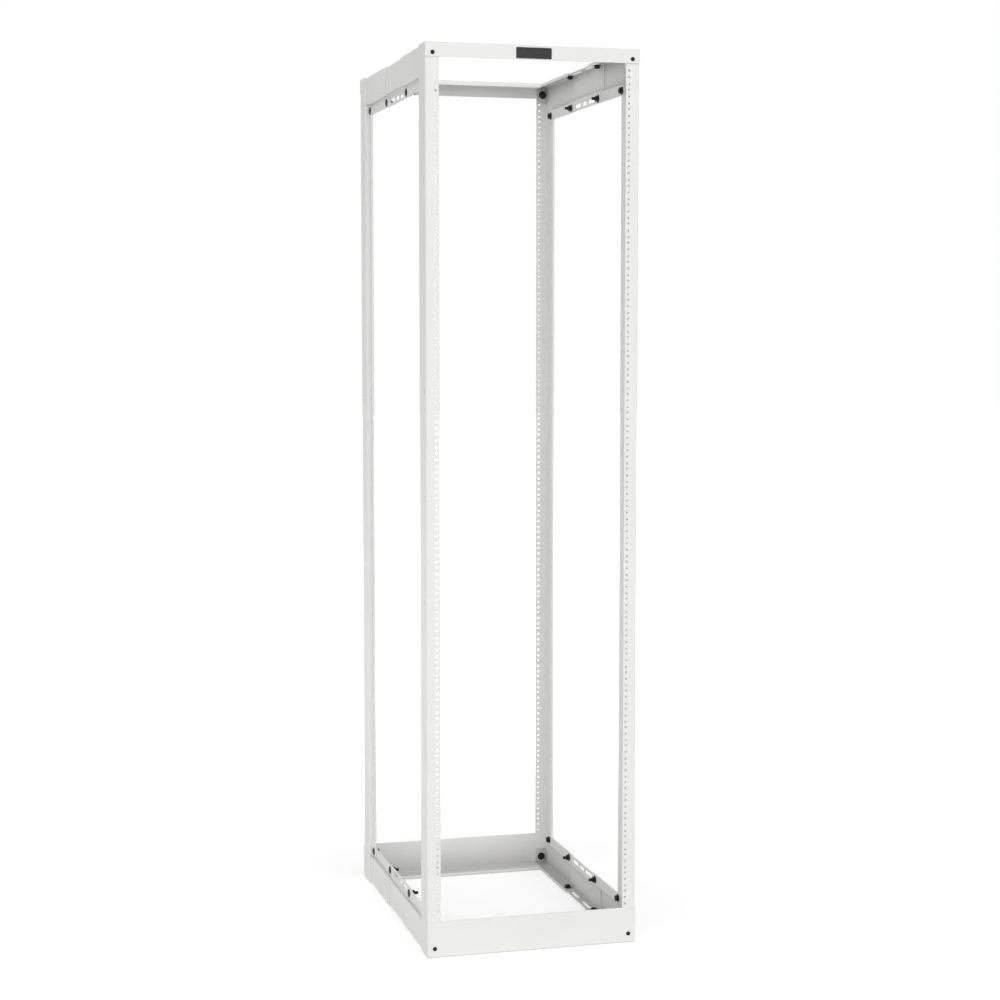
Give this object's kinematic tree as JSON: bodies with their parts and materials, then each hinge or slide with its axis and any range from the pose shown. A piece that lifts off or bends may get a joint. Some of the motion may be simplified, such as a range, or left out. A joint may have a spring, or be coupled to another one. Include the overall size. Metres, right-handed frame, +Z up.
{
  "type": "four post open frame rack",
  "caption": "Open frame equipment rack of folded white steel: corner posts with rows of mounting holes, crossbars, base panels and bolted, slotted side rails.",
  "frame": {"origin": "on the floor, at the centre of the footprint", "axes": "+X to the right seen from the front, +Y from the front to the back, +Z up"},
  "size_m": [0.5156, 0.768, 2.1336],
  "materials": {
    "white_paint": "fine textured powder coat, white",
    "black_fastener": "black oxide",
    "black_plate": "satin black, bare"
  },
  "bodies": {
    "root": {"front_left_post": "white_paint", "front_right_post": "white_paint", "front_top_crossbar": "white_paint", "front_base_panel": "white_paint", "front_corner_screws": "black_fastener", "rear_left_post": "white_paint", "rear_right_post": "white_paint", "rear_top_crossbar": "white_paint", "rear_base_panel": "white_paint", "rear_corner_screws": "black_fastener", "bottom_left_front_rail_bracket": "white_paint", "bottom_left_rear_rail_bracket": "white_paint", "bottom_left_rail_splice": "white_paint", "bottom_left_rail_bolts": "black_fastener", "bottom_right_front_rail_bracket": "white_paint", "bottom_right_rear_rail_bracket": "white_paint", "bottom_right_rail_splice": "white_paint", "bottom_right_rail_bolts": "black_fastener", "top_left_front_rail_bracket": "white_paint", "top_left_rear_rail_bracket": "white_paint", "top_left_rail_splice": "white_paint", "top_left_rail_bolts": "black_fastener", "top_right_front_rail_bracket": "white_paint", "top_right_rear_rail_bracket": "white_paint", "top_right_rail_splice": "white_paint", "top_right_rail_bolts": "black_fastener", "nameplate": "black_plate"}
  },
  "joints": []
}
